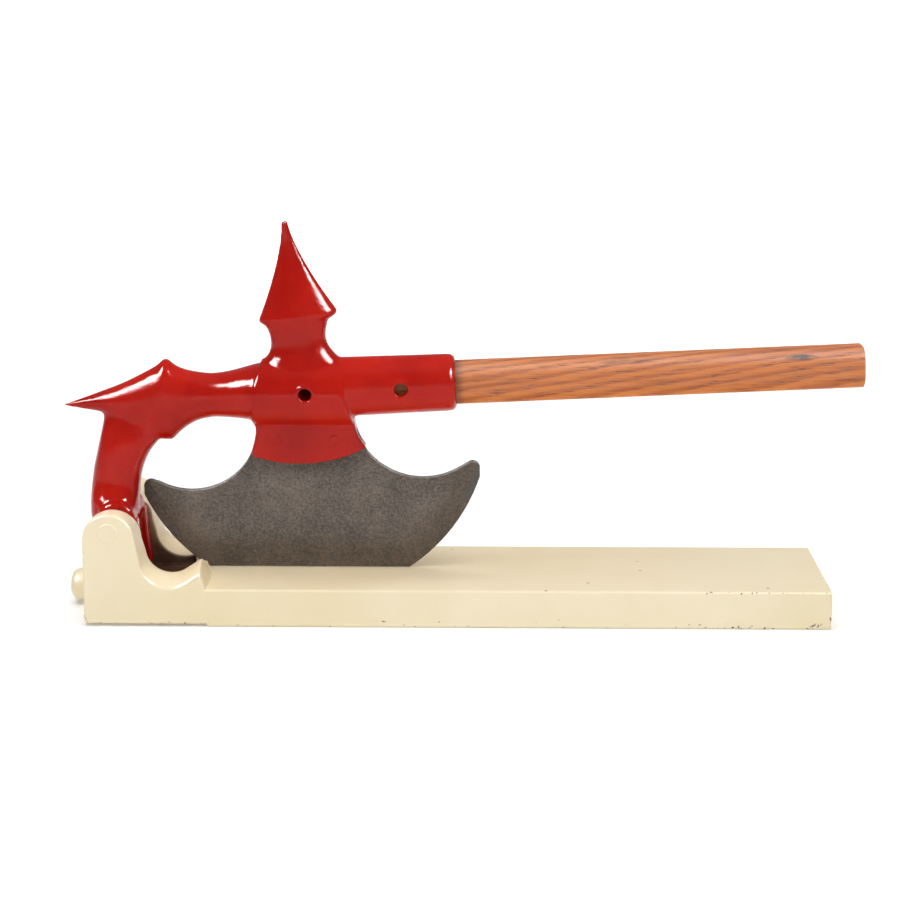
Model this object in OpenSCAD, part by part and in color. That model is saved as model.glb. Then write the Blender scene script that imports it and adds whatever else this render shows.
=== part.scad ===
// Table-top lever cutter in the form of a fire axe.
// A red cast head with an oak handle and a crescent blade swings on a hinge pin
// in a cast bracket, and the blade closes on a painted board.
// X runs along the board to the handle end, Y across it, Z up.
// The origin is the centre of the base, on the surface that it stands on.

/* [Board] */
// Length of the board
board_l = 371; // [300:1:460]
// Width of the board and of the bracket
base_w = 100; // [92:1:130]
// Thickness of the board
board_t = 23; // [20:0.5:32]
// Rounding of the board's corners and long edges
board_round = 1.5; // [0.5:0.1:3]

/* [Bracket] */
// Length of the bracket along the board
bracket_l = 73; // [70:1:90]
// Height of the bracket's underside above the table
bracket_lift = 1.5; // [0:0.1:3]
// Width of the slot that the hub turns in
slot_w = 44; // [36:1:50]
// Thickness of the metal under the slot, above the tie bolt
floor_t = 2; // [2:0.5:6]
// Thickness of the web that closes the slot at the left end
web_t = 4.5; // [3.5:0.5:6]
// Radius of the round top of each ear
ear_r = 15.5; // [14:0.5:15.5]
// Height of each ear's top above the hinge axis
ear_top = 11.4; // [10:0.1:14]
// Radius of the hollow between the ear and the ridge
hollow_r = 17; // [14:0.5:19]
// Height of each cheek's crest above its edges
crest_rise = 6; // [0:0.5:9]
// Height of the ridge's edge above the board's top
ridge_h = 9; // [5:0.5:12]
// Width of the notch in the ridge that the blade drops into
notch_w = 26; // [10:1:34]

/* [Hinge] */
// Distance of the hinge axis from the bracket's left face
hinge_inset = 16; // [14:0.5:20]
// Height of the hinge axis above the board's top
hinge_h = 34; // [32:0.5:42]
// Diameter of the hinge pin
pin_d = 12; // [8:0.1:14.4]
// Radial running clearance of the pin in its bores
pin_clearance = 0.05; // [0.03:0.01:0.1]
// Clearance at each side of the hub
hub_clearance = 0.5; // [0.3:0.1:1]
// Gap left between the parts at each stop
stop_gap = 0.5; // [0.3:0.1:1]

/* [Fixings] */
// Shank diameter of the tie bolt
bolt_d = 8; // [6:0.5:8]
// Length of the tie bolt's thread in the board
bolt_grip = 60; // [40:1:80]
// Diameter of the tie bolt's domed head
bolt_head_d = 20; // [16:0.5:20]
// Height of the tie bolt's domed head
bolt_head_h = 13; // [6:0.5:15]
// Rounding of the domed head's rim
bolt_head_round = 4.5; // [1:0.5:5]
// Thickness of the washer under the bolt's head
washer_t = 2; // [1:0.5:3]
// Diameter of the locating dowels
dowel_d = 8; // [6:0.5:10]
// Length of the locating dowels
dowel_l = 40; // [30:1:50]
// Distance between the two dowels
dowel_pitch = 68; // [60:1:72]
// Clearance of the fixings in their holes
fixing_clearance = 0.1; // [0.05:0.05:0.3]

/* [Head] */
// Half the depth of the arm
arm_b = 12.5; // [11:0.5:15]
// Radius of the collar's barrel
collar_r = 20; // [18:0.5:22]
// Radius of the socket at the collar
socket_r = 18.2; // [17:0.1:20]
// Radius of the socket at its mouth
mouth_r = 17.2; // [16:0.1:18]
// Rounding of the socket's mouth
mouth_round = 4; // [1:0.5:4]
// Length of the socket from the collar's middle to its mouth
socket_l = 92; // [80:1:110]
// Upward tilt of the socket and the handle
handle_tilt = 2.6; // [0:0.1:5]
// Half the width of the finial at its rim
finial_w = 24; // [18:0.5:27]
// Half the depth of the finial at its rim
finial_b = 11; // [9:0.5:14]
// Height of the finial above its rim
finial_h = 57; // [40:1:70]
// Lean of the finial to the left
finial_lean = 7.5; // [0:0.5:10]
// Thickness of the skirt that grips the blade
skirt_t = 13; // [10:0.5:16]
// Diameter of the screw holes in the front of the collar and the socket
cross_hole_d = 7.5; // [5:0.5:9]
// Depth of the screw hole in the collar
hole_depth = 26; // [15:1:32]

/* [Blade] */
// Radius of the cutting edge
edge_r = 110; // [105:0.5:115]
// Thickness of the blade
blade_t = 3; // [2:0.25:4]
// Radius of the left scallop
scallop_l_r = 41; // [38:0.5:44]
// Radius of the right scallop
scallop_r_r = 43; // [40:0.5:46]
// Radius of the horn tips
tip_r = 4.5; // [3:0.5:6]
// Clearance of the blade in the skirt's slot
blade_clearance = 0.1; // [0.05:0.05:0.3]
// Diameter of the rivets through the skirt and the blade
rivet_d = 6; // [4:0.5:8]

/* [Handle] */
// Length of the handle that shows
handle_l = 244; // [180:1:300]
// Height of the handle's section
handle_h = 25.2; // [20:0.1:27]
// Thickness of the handle's section
handle_t = 24; // [20:0.5:25]
// Corner radius of the handle's section
handle_round = 8; // [4:0.5:10]
// Depth of the handle in the socket
tenon_l = 56; // [40:1:58]
// Clearance of the handle in the socket
tenon_clearance = 0.15; // [0.05:0.05:0.4]

/* [Hidden] */
$fn = 64;
cut_over = 1;                         // how far a cutter runs past a face
cream = [0.92, 0.87, 0.73];
enamel_red = [0.68, 0.11, 0.06];
steel = [0.44, 0.41, 0.38];
oak = [0.78, 0.51, 0.31];

base_l = bracket_l + board_l;
left_x = -base_l / 2;                 // left face of the bracket
joint_x = left_x + bracket_l;         // face where the bracket meets the board
hinge_x = left_x + hinge_inset;
hinge_z = board_t + hinge_h;
bolt_z = board_t / 2;
bolt_hole_d = bolt_d + 2 * fixing_clearance;
slot_floor = bolt_z + bolt_hole_d / 2 + floor_t - hinge_z;   // seen from the hinge axis
hub_w = slot_w - 2 * hub_clearance;
tail_z = slot_floor + 1;              // underside of the hub's tail
arm_back = 17.8;                      // reach of the arm's back behind the hinge axis
hub_r = 11.4;                         // radius of the hub's barrel
web_top = -arm_back - stop_gap;       // top of the end web, seen from the hinge axis
ridge_b = 3.5;                        // run of the ridge's steep facet
ridge_foot = 14;                      // width of the ridge at its foot
ear_wall = 0.35;                      // wall over the pin's bore where the ear's top dips at the slot
ear_sink = ear_top - pin_d / 2 - pin_clearance - ear_wall;
hollow_back = 22;                     // distance of the hollow's middle from the board
sill_h = 1.5;                         // height of the slot's sill above the board's top
notch_l = 30;                         // length of the notch in the ridge
pin_proud = 0.5;                      // how far each end of the pin stands out of the cheeks
rivet_proud = 0.4;                    // how far each end of a rivet stands out of the skirt
bolt_end_gap = 2;                     // room left in a blind hole past the end of the bolt
end_gap = 1;                          // room left past the end of a dowel or of the handle's tenon
lap = 0.4;                            // small step that keeps two faces out of one plane
edge_z = stop_gap - hinge_h;          // the blade's flat edge, seen from the hinge axis

// Points of the lever, seen from the hinge axis with the blade closed
collar_mid = [113, 78];               // middle of the collar on the socket's axis
collar_drop = 2;                      // how much lower the collar's barrel lies than that axis
collar_l = 90;                        // length of the barrel that the collar is cut from
socket_root = 10;                     // distance from the collar's middle at which the socket starts
rim_mid = [110.2, 122.4];             // middle of the finial's rim
edge_mid = [114.7, edge_z + 91];      // centre of the cutting arc
tip_l = [19, 16.9];                   // centre of the left horn's tip
tip_r_mid = [215, 29.2];              // centre of the right horn's tip
cross_hole = [115.1, 77.6];           // blind screw hole in the front of the collar
socket_hole = [172.2, 80.5];          // screw hole in the front of the socket
rivet_points = [[97, 46.5], [131.5, 47.5]];
socket_dir = [cos(handle_tilt), sin(handle_tilt)];
mouth = collar_mid + socket_l * socket_dir;

// ---- helpers -------------------------------------------------------------

// points on an arc about c from angle a to angle b in n steps
function arc(c, r, a, b, n = 12) =
    [for (i = [0:n]) let (t = a + (b - a) * i / n) c + r * [cos(t), sin(t)]];

// a closed ellipse-like ring of n points, p = 2 for an ellipse and more for a fuller form
function oval(a, b, p = 2, n = 28) =
    [for (i = [0:n - 1]) let (t = 360 * i / n)
        [a * sign(cos(t)) * pow(abs(cos(t)), 2 / p), b * sign(sin(t)) * pow(abs(sin(t)), 2 / p)]];

// solid through rings of an equal, even number of points; each flat end is closed by strips
// that join the ring's two halves
module skin(rings) {
    n = len(rings[0]);
    m = len(rings);
    points = [for (ring = rings) for (p = ring) p];
    sides = [for (j = [0:m - 2]) for (i = [0:n - 1]) let (k = (i + 1) % n)
        [j * n + i, (j + 1) * n + i, (j + 1) * n + k, j * n + k]];
    quads = [for (s = sides) for (t = [[s[0], s[1], s[2]], [s[0], s[2], s[3]]]) t];
    first = [for (i = [0:n / 2 - 2]) [i, i + 1, n - 2 - i, n - 1 - i]];
    last = [for (s = first) [for (i = [3:-1:0]) (m - 1) * n + s[i]]];
    polyhedron(points = points, faces = concat(first, quads, last), convexity = 6);
}

// a flat outline drawn in X and Z, given the thickness t across Y
module across(t) rotate([90, 0, 0]) translate([0, 0, -t / 2]) linear_extrude(t) children();

// a round bar across Y at point p of an X and Z outline
module cross_bar(p, d, l) translate([p[0], 0, p[1]]) rotate([90, 0, 0]) cylinder(d = d, h = l, center = true);

// moves a piece drawn from the hinge axis to its place on the base
module at_hinge() translate([hinge_x, 0, hinge_z]) children();

// places a piece drawn along +X on the socket's axis, starting at its mouth
module at_mouth() translate([mouth[0], 0, mouth[1]]) rotate([0, -handle_tilt, 0]) children();

// a solid of revolution with its axis along +X, from a profile of [distance, radius]
module turned(profile) rotate([90, 0, 90]) rotate_extrude($fn = 96) polygon([for (p = profile) [p[1], p[0]]]);

// ---- base ----------------------------------------------------------------

module rounded_bar(l, w, h, r) {
    translate([0, 0, h / 2]) rotate([0, 90, 0]) linear_extrude(l) hull()
        for (i = [-1, 1], j = [-1, 1]) translate([i * (h / 2 - r), j * (w / 2 - r)]) circle(r, $fn = 32);
}

module base_board() color(cream) difference() {
    translate([joint_x, 0, 0]) rounded_bar(board_l, base_w, board_t, board_round);
    translate([joint_x - cut_over, 0, bolt_z]) rotate([0, 90, 0])
        cylinder(d = bolt_hole_d, h = bolt_grip + bolt_end_gap + cut_over);
    for (side = [-1, 1]) translate([joint_x - cut_over, side * dowel_pitch / 2, bolt_z]) rotate([0, 90, 0])
        cylinder(d = dowel_d + 2 * fixing_clearance, h = dowel_l / 2 + end_gap + cut_over);
}

// top line of a cheek from the hinge axis: the ear, the hollow and the ridge
function cheek_top(rise, sink) =
    let (right = joint_x - hinge_x,
         ear = [0, ear_top - ear_r - sink],
         crest = [right - ridge_b, ridge_h - hinge_h + rise],
         hollow = [right - hollow_back, hollow_r - hinge_h + rise])
    concat(arc(ear, ear_r, 180, 0, 14), arc(hollow, hollow_r, 185, 295, 10), [crest, [right, -hinge_h]]);

// a cheek's whole outline: its top line, and the same points brought down to the underside
function cheek_outline(rise, sink) =
    let (top = cheek_top(rise, sink), bottom = bracket_lift - hinge_z)
    concat(top, [for (i = [len(top) - 1:-1:1]) [top[i][0], bottom]], [[-hinge_inset, bottom]]);

// both cheeks in one skin across Y, with the room between them still filled
module cheeks() {
    inner = slot_w / 2 - lap;
    outer = base_w / 2;
    skin([for (i = [-5.5:5.5]) let (t = (abs(i) - 0.5) / 5, arch = 1 - pow(2 * t - 1, 2))
        [for (p = cheek_outline(crest_rise * arch, ear_sink * pow(1 - t, 3)))
            [p[0], sign(i) * (inner + (outer - inner) * t), p[1]]]]);
}

// side outline of the room between the cheeks: over the web, down to the slot's floor and over the ridge
module room_outline() {
    right = joint_x - hinge_x;
    polygon([[-hinge_inset - cut_over, web_top], [web_t - hinge_inset, web_top],
        [web_t - hinge_inset, slot_floor], [right - ridge_foot, slot_floor],
        [right - ridge_foot, sill_h - hinge_h], [right - ridge_b, ridge_h - lap - hinge_h],
        [right, -lap - hinge_h], [right + cut_over, -lap - hinge_h], [right + cut_over, hinge_h],
        [-hinge_inset - cut_over, hinge_h]]);
}

module hinge_bracket() color(cream) difference() {
    at_hinge() cheeks();
    at_hinge() across(slot_w) room_outline();
    cross_bar([hinge_x, hinge_z], pin_d + 2 * pin_clearance, base_w + 2 * cut_over);
    translate([joint_x - notch_l, -notch_w / 2, board_t - 2 * lap])
        cube([notch_l + cut_over, notch_w, hinge_h]);
    translate([left_x - cut_over, 0, bolt_z]) rotate([0, 90, 0])
        cylinder(d = bolt_hole_d, h = bracket_l + 2 * cut_over);
    for (side = [-1, 1]) translate([joint_x + cut_over, side * dowel_pitch / 2, bolt_z]) rotate([0, -90, 0])
        cylinder(d = dowel_d + 2 * fixing_clearance, h = dowel_l / 2 + end_gap + cut_over);
}

module hinge_pin() color(cream) cross_bar([hinge_x, hinge_z], pin_d, base_w + 2 * pin_proud);

module tie_bolt() color(cream) translate([left_x - washer_t, 0, bolt_z]) turned(concat(
    [[washer_t + bracket_l + bolt_grip, 0], [washer_t + bracket_l + bolt_grip, bolt_d / 2 - 1],
     [washer_t + bracket_l + bolt_grip - 1, bolt_d / 2], [0, bolt_d / 2], [0, bolt_head_d / 2]],
    arc([bolt_head_round - bolt_head_h, bolt_head_d / 2 - bolt_head_round], bolt_head_round, 90, 180, 8),
    [[-bolt_head_h, 0]]));

module bolt_washer() color(cream) translate([left_x - washer_t, 0, bolt_z]) rotate([0, 90, 0]) difference() {
    cylinder(d = bolt_head_d + 2, h = washer_t);
    translate([0, 0, -cut_over]) cylinder(d = bolt_hole_d, h = washer_t + 2 * cut_over);
}

module locating_dowels() color(oak) for (side = [-1, 1])
    translate([joint_x - dowel_l / 2, side * dowel_pitch / 2, bolt_z]) rotate([0, 90, 0])
        cylinder(d = dowel_d, h = dowel_l);

// ---- lever head ----------------------------------------------------------

// the hub's tail, which hangs between the cheeks
module tail_outline() polygon([[0, 0], [12.7, 0], [14, -17], [15.5, -28], [16, tail_z + 3], [14, tail_z],
    [-4, tail_z], [-8, tail_z + 4], [-8, -9]]);

// how far each side of the arm swells over the hub, which it stays 3 mm inside of
flare = hub_w / 2 - 3 - arm_b;

// the upright arm, in level sections: [height, left, right, half depth]
arm_rows = [[-8, -15.5, 10, arm_b], [0, -arm_back, 11.2, arm_b + flare * 2 / 3],
            [6, -arm_back, 11.2, arm_b + flare], [10, -17.7, 11.4, arm_b + flare * 5 / 6],
            [14, -17.4, 11.8, arm_b + flare / 2], [19, -16.9, 12.3, arm_b + flare / 6],
            [25, -16, 13.4, arm_b + flare / 20], [32, -14.8, 15.6, arm_b], [39, -13, 19, arm_b],
            [46, -11, 24.5, arm_b - 0.5], [52, -9, 30, arm_b - 2], [59, -6, 36, arm_b - 4],
            [66, 0, 40, arm_b - 6]];

module upright_arm() skin([for (r = arm_rows)
    [for (p = oval((r[2] - r[1]) / 2, r[3], 2.5)) [(r[1] + r[2]) / 2 + p[0], p[1], r[0]]]]);

// the beak, the peak and the waist, in upright sections: [x, underside, top, half depth]
beak_rows = [[-32, 66.6, 68.2, 0.8], [-27, 66, 69.6, 1.8], [-20.6, 65, 71.8, 3.8], [-10.5, 63.4, 75.5, 7],
             [1.7, 58, 80.2, 10], [14, 51, 86.1, 11.8], [24, 47.2, 91.6, 12.6], [30.6, 46.8, 95.4, 12.8],
             [33.4, 47.2, 93.3, 12.8], [36, 49.4, 91.6, 12.7], [40, 53, 89.8, 12.6], [47, 57.5, 88.1, 12.6],
             [57.5, 60.4, 87, 13], [68, 60.4, 88.4, 13.6], [78, 59.4, 91, 14.6], [92, 57.4, 95, 16]];

module beak_and_waist() skin([for (r = beak_rows)
    [for (p = oval((r[2] - r[1]) / 2, r[3], 2.2)) [r[0], -p[1], (r[1] + r[2]) / 2 + p[0]]]]);

// the collar: a barrel on the socket's axis, cut by its two raised sides
module collar() intersection() {
    translate([collar_mid[0], 0, collar_mid[1] - collar_drop]) rotate([0, 90 - handle_tilt, 0])
        cylinder(r = collar_r, h = collar_l, center = true, $fn = 96);
    across(3 * collar_r) polygon([[81.5, 50], [83, 66], [84.5, 80], [87.3, 94.5], [90, 100], [133, 100],
        [134, 90], [137, 78], [141, 67], [145.5, 52]]);
}

// the neck between the collar and the finial, in level sections: [height, left, right, half depth]
neck_rows = [[84, 86, 140, 14], [92, 87, 137, 13], [95.5, 89, 136, 12], [99, 92, 132.5, 11],
             [103, 93.4, 129.2, 10], [107.5, 93.6, 127.2, 9.6], [113, 92.3, 126.8, 9.6], [119, 89, 128, 10]];

module neck() skin([for (r = neck_rows)
    [for (p = oval((r[2] - r[1]) / 2, r[3], 2.4)) [(r[1] + r[2]) / 2 + p[0], p[1], r[0]]]]);

// half width of the finial at height s above its rim
function finial_half(s) = 2 + (finial_w - 2) * pow(max(0, 1 - s / (finial_h - 1)), 1.45);

module finial() translate([rim_mid[0], 0, rim_mid[1]]) rotate([0, -finial_lean, 0]) {
    shallow = finial_b / finial_w;
    skin(concat(
        [for (r = [[-4.5, 0.72], [-2.6, 0.9], [-0.8, 0.985]])
            [for (p = oval(finial_w * r[1], finial_b * r[1], 2.2)) [p[0], p[1], r[0]]]],
        [for (i = [0:10]) let (s = (finial_h - 2) * i / 10, w = finial_half(s))
            [for (p = oval(w, max(2, w * shallow), 2.2)) [p[0], p[1], s]]],
        [[for (p = oval(1, 1)) [p[0], p[1], finial_h]]]));
}

// the skirt's outline below the collar
function skirt_outline() = concat([[84, 62], [83.9, 51], [82.7, 45], [81.1, 39.6]],
    arc([109.8, 119.6], 87.3, 251, 297.9, 16), [[147, 47.5], [144.8, 53], [143, 62]]);

module socket() at_mouth() turned(concat([[socket_root - socket_l, 0], [socket_root - socket_l, socket_r]],
    arc([-mouth_round, mouth_r - mouth_round], mouth_round, 90, 0, 8), [[0, 0]]));

// the handle's section, a rectangle with round corners
module handle_section(gap = 0) hull() for (i = [-1, 1], j = [-1, 1])
    translate([i * (handle_h / 2 - handle_round), j * (handle_t / 2 - handle_round)])
        circle(handle_round + gap, $fn = 32);

module lever_head() color(enamel_red) at_hinge() difference() {
    union() {
        cross_bar([0, 0], 2 * hub_r, hub_w);
        across(hub_w) tail_outline();
        upright_arm();
        beak_and_waist();
        collar();
        neck();
        finial();
        socket();
        across(skirt_t) polygon(skirt_outline());
    }
    cross_bar([0, 0], pin_d + 2 * pin_clearance, hub_w + 2 * cut_over);
    // hollow in the right side of the hub, between its two ribs
    across(hub_w / 2) polygon([[20, 6], [12, 3], [8.5, -8], [9.5, tail_z + 12], [9.5, tail_z - 1],
        [20, tail_z - 1]]);
    // slot that the blade's tang sits in
    across(blade_t + 2 * blade_clearance) polygon(tang_slot(blade_clearance));
    for (p = rivet_points) cross_bar(p, rivet_d + 2 * fixing_clearance, skirt_t + 2 * cut_over);
    translate([cross_hole[0], -collar_r - cut_over, cross_hole[1]]) rotate([-90, 0, 0])
        cylinder(d = cross_hole_d, h = hole_depth);
    translate([socket_hole[0], -collar_r, socket_hole[1]]) rotate([-90, 0, 0])
        cylinder(d = cross_hole_d, h = collar_r);
    at_mouth() translate([-tenon_l - end_gap, 0, 0]) rotate([0, 90, 0])
        linear_extrude(tenon_l + end_gap + cut_over) handle_section(tenon_clearance);
}

// ---- blade ---------------------------------------------------------------

// top corners of the tang that runs up between the skirt's cheeks
tang_top = [[88, 58], [138, 60]];

// the slot between the cheeks, which is open at both sides and below
function tang_slot(gap) = [[75, 20], [75, 54], tang_top[0] + [-gap, gap], tang_top[1] + [gap, gap],
    [156, 56], [156, 20]];

// left and right ends of the flat edge lie on the cutting arc
flat_half = sqrt(pow(edge_r, 2) - pow(edge_mid[1] - edge_z, 2));
flat_angle = atan2(edge_z - edge_mid[1], flat_half);

module blade_outline() {
    scallop_l = [43.8, 15.1 + scallop_l_r];
    scallop_r = [184.8, 23.5 + scallop_r_r];
    polygon(concat(
        arc(tip_l, tip_r, 195, 60, 8),
        arc(scallop_l, scallop_l_r, 243, 329, 16),
        [[82.8, 43.5], [84.2, 50]],
        tang_top,
        [[143.5, 57], [145.6, 51.5]],
        arc(scallop_r, scallop_r_r, 218, 302, 16),
        arc(tip_r_mid, tip_r, 110, -15, 8),
        arc(edge_mid, edge_r, -19, flat_angle, 16),
        arc(edge_mid, edge_r, 180 - flat_angle, 204.5, 16)));
}

module blade() color(steel) at_hinge() difference() {
    across(blade_t) blade_outline();
    for (p = rivet_points) cross_bar(p, rivet_d + 2 * fixing_clearance, blade_t + 2 * cut_over);
}

module blade_rivets() color(enamel_red) at_hinge() for (p = rivet_points)
    cross_bar(p, rivet_d, skirt_t + 2 * rivet_proud);

// ---- handle --------------------------------------------------------------

module handle() color(oak) at_hinge() at_mouth() translate([-tenon_l, 0, 0]) rotate([0, 90, 0])
    linear_extrude(tenon_l + handle_l) handle_section();

base_board();
hinge_bracket();
hinge_pin();
tie_bolt();
bolt_washer();
locating_dowels();
lever_head();
blade();
blade_rivets();
handle();
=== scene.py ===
# %% [markdown]
# # A table-top lever cutter in the form of a fire axe
# The real object is a small guillotine. A red iron casting holds a crescent blade and an oak
# handle, and swings on a pin in a cream iron bracket; the blade closes on a painted board.
# The jointed frame comes from CAD. This notebook loads it, sets up the camera and the light, and
# then dresses the frame piece by piece with finer surfaces and painted, forged and grown finishes.

# %% Load the frame
from math import radians

import bmesh
import bpy
import numpy as np
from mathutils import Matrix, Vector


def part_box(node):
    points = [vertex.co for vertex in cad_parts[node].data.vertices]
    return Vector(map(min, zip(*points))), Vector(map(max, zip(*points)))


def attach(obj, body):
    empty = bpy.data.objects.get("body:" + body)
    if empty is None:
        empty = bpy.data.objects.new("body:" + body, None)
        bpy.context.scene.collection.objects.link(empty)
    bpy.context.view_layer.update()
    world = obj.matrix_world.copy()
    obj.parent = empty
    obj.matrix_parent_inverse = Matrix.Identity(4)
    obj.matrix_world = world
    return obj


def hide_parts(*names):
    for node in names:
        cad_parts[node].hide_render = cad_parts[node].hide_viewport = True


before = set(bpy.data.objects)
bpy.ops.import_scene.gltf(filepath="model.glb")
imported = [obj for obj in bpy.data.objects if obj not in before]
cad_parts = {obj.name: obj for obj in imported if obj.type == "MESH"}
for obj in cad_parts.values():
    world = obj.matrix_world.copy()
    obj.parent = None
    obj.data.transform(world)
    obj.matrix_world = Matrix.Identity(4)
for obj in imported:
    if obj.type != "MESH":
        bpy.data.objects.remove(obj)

MM = 0.001
scene = bpy.context.scene
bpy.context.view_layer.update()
HINGE = np.mean(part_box("hinge_pin"), axis=0)
hinge_mm = HINGE * 1000
board_low, board_high = (np.array(corner) * 1000 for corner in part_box("base_board"))
board_half = (board_high - board_low) / 2
print("hinge axis at", HINGE.round(4), "with", len(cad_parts), "nodes")

# %% [markdown]
# ## Camera
# A product shot is taken from far away with a long lens, so that upright lines stay nearly
# parallel. The camera stands in front of the skirt, a third of a metre up, and looks 13 degrees down.

# %% Camera
eye = bpy.data.cameras.new("eye")
eye.lens = 85.7
eye.sensor_width = 36
eye.clip_end = 100
camera = bpy.data.objects.new("eye", eye)
camera.location = HINGE + np.array([0.2229, -1.2664, 0.332])
camera.rotation_euler = (radians(77.02), 0, radians(0.98))
scene.collection.objects.link(camera)
scene.camera = camera
print("camera", round(camera.location.length, 2), "m from the middle of the base")

# %% [markdown]
# ## Light
# Gloss paint shows its surroundings, so what it reflects is planned apart from what lights it. A
# wide panel overhead and a weak one in front light every face evenly and stay out of the gloss, as
# crossed filters would do. Two soft boxes far out at the left and the right are only seen in the
# gloss: a straight bar shows no highlight, and the curved forms catch the boxes. The room is dim,
# which keeps the red deep, and the white floor lays a pale veil on everything that faces down.

# %% Room and lamps
scene.view_settings.view_transform = "Standard"
room = bpy.data.worlds.new("room")
room.use_nodes = True
backdrop = room.node_tree.nodes["Background"]
backdrop.inputs["Color"].default_value = (1, 1, 1, 1)
backdrop.inputs["Strength"].default_value = 0.22
scene.world = room


def lamp(name, place, aim, size, power, lights=True):
    """A square soft box at place that faces aim: its -Z axis is turned along the line between them.
    It either lights the faces and stays out of their gloss, or is only seen in the gloss."""
    light = bpy.data.lights.new(name, "AREA")
    light.size, light.energy = size, power
    box = bpy.data.objects.new(name, light)
    box.location = place
    away = np.array(place, float) - np.array(aim, float)
    lean = float(np.arctan2(np.hypot(away[0], away[1]), away[2]))
    box.rotation_euler = (lean, 0, float(np.arctan2(away[0], -away[1])))
    box.visible_glossy, box.visible_diffuse = not lights, lights
    scene.collection.objects.link(box)


middle = (0, 0, 0.08)
lamp("overhead_panel", (0, 0, 2.0), middle, 2.4, 56)
lamp("front_panel", (0, -2.4, 0.9), middle, 1.6, 13)
lamp("left_box", (-1.45, -0.8, 1.5), middle, 0.85, 170, lights=False)
lamp("right_box", (1.45, -0.8, 1.5), middle, 0.85, 170, lights=False)

# %% [markdown]
# ## Sums that make shaders
# A finish is a sum over space: noise here, distance there. Wiring such a sum by hand takes dozens
# of nodes, so this class lets a socket take part in ordinary Python arithmetic and makes the Math
# nodes behind it. Colours are mixed and vectors are scaled through their own nodes.

# %% The Flow class
class Flow:
    """A value that a material works out at each point. Arithmetic on it adds Math nodes."""

    def __init__(self, tree, socket):
        self.tree, self.socket = tree, socket

    def node(self, kind, settings=None, inputs=None, out=0):
        """Makes a node of a kind, applies its settings first, and then fills or links its inputs."""
        made = self.tree.nodes.new(kind)
        for name, value in (settings or {}).items():
            setattr(made, name, value)
        for key, value in (inputs or {}).items():
            if isinstance(value, Flow):
                self.tree.links.new(value.socket, made.inputs[key])
            else:
                made.inputs[key].default_value = value
        return Flow(self.tree, made.outputs[out])

    def math(self, operation, *values):
        return self.node("ShaderNodeMath", {"operation": operation}, dict(enumerate((self, *values))))

    def __add__(self, other): return self.math("ADD", other)
    def __sub__(self, other): return self.math("SUBTRACT", other)
    def __mul__(self, other): return self.math("MULTIPLY", other)
    def __truediv__(self, other): return self.math("DIVIDE", other)
    def __pow__(self, other): return self.math("POWER", other)
    def __rsub__(self, other): return self * -1 + other
    __radd__ = __add__
    __rmul__ = __mul__

    def lower(self, other): return self.math("MINIMUM", other)
    def higher(self, other): return self.math("MAXIMUM", other)
    def size(self): return self.math("ABSOLUTE")

    def step(self, start, end):
        """0 before start and 1 after end, with the smooth curve 3t^2 - 2t^3 between them."""
        settings = {"interpolation_type": "SMOOTHSTEP"}
        return self.node("ShaderNodeMapRange", settings, {0: self, 1: start, 2: end, 3: 0.0, 4: 1.0})

    def tint(self, low_colour, high_colour):
        """A colour between two others, given or worked out, with this value as the second's share."""
        inputs = {0: self, 6: low_colour, 7: high_colour}
        return self.node("ShaderNodeMix", {"data_type": "RGBA"}, inputs, out=2)

    def stretched(self, x, y, z):
        """This vector with each of its parts multiplied by its own number."""
        return self.node("ShaderNodeVectorMath", {"operation": "MULTIPLY"}, {0: self, 1: (x, y, z)})

    def parts(self):
        split = self.tree.nodes.new("ShaderNodeSeparateXYZ")
        self.tree.links.new(self.socket, split.inputs[0])
        return [Flow(self.tree, out) for out in split.outputs]

    def noise(self, scale, detail=4.0, rough=0.55):
        """Soft random values around 0.5 whose blobs are about 1/scale metres wide."""
        inputs = {"Vector": self, "Scale": scale, "Detail": detail, "Roughness": rough}
        return self.node("ShaderNodeTexNoise", None, inputs)

    def cells(self, scale):
        """The distance to the nearest of many scattered points, about 1/scale metres apart."""
        return self.node("ShaderNodeTexVoronoi", {"feature": "F1"}, {"Vector": self, "Scale": scale})


def paint(red, green, blue):
    """A screen colour of 0 to 255 as the light it stands for: ((c + 0.055) / 1.055) to the 2.4."""
    c = np.array([red, green, blue]) / 255
    light = np.where(c <= 0.04045, c / 12.92, ((c + 0.055) / 1.055) ** 2.4)
    return (*light.tolist(), 1.0)


print("paint(255, 128, 0) is", np.round(paint(255, 128, 0), 3))


# %% A finish: one Principled shader and what feeds it
def finish(name, fixed, build):
    """A material whose uniform values are set on the shader, while build(place) gives the varying
    ones as {input name: Flow}; "Height" goes through a Bump node to the normal."""
    material = bpy.data.materials.new(name)
    material.use_nodes = True
    tree = material.node_tree
    shader = tree.nodes["Principled BSDF"]
    for key, value in fixed.items():
        shader.inputs[key].default_value = value
    place = Flow(tree, tree.nodes.new("ShaderNodeTexCoord").outputs["Object"])
    for key, value in build(place).items():
        if key == "Height":
            bump = value.node("ShaderNodeBump", None, {"Height": value, "Strength": 1.0, "Distance": MM})
            tree.links.new(bump.socket, shader.inputs["Normal"])
        else:
            tree.links.new(value.socket, shader.inputs[key])
    print("finish", name, "with", len(tree.nodes), "nodes")
    return material


# %% [markdown]
# ## The sweep
# The floor is a white sweep. The lamps light its middle and fall off outwards, so it would turn
# grey in the distance; a glow that grows with the distance from the middle keeps it evenly pale.
# A round wall far out carries the white on above the horizon. It neither lights the cutter nor
# shows in its gloss, so the room stays as dim as it was planned.

# %% The floor and the wall
def sweep_skin(place):
    """The glow grows with the distance from the middle, the root of x^2 + y^2, in metres."""
    x, y, _ = place.parts()
    far = ((x * x + y * y) ** 0.5).step(0.3, 1.8)
    return {"Emission Color": far.tint((0.16, 0.16, 0.16, 1), (1, 1, 1, 1))}


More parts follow.
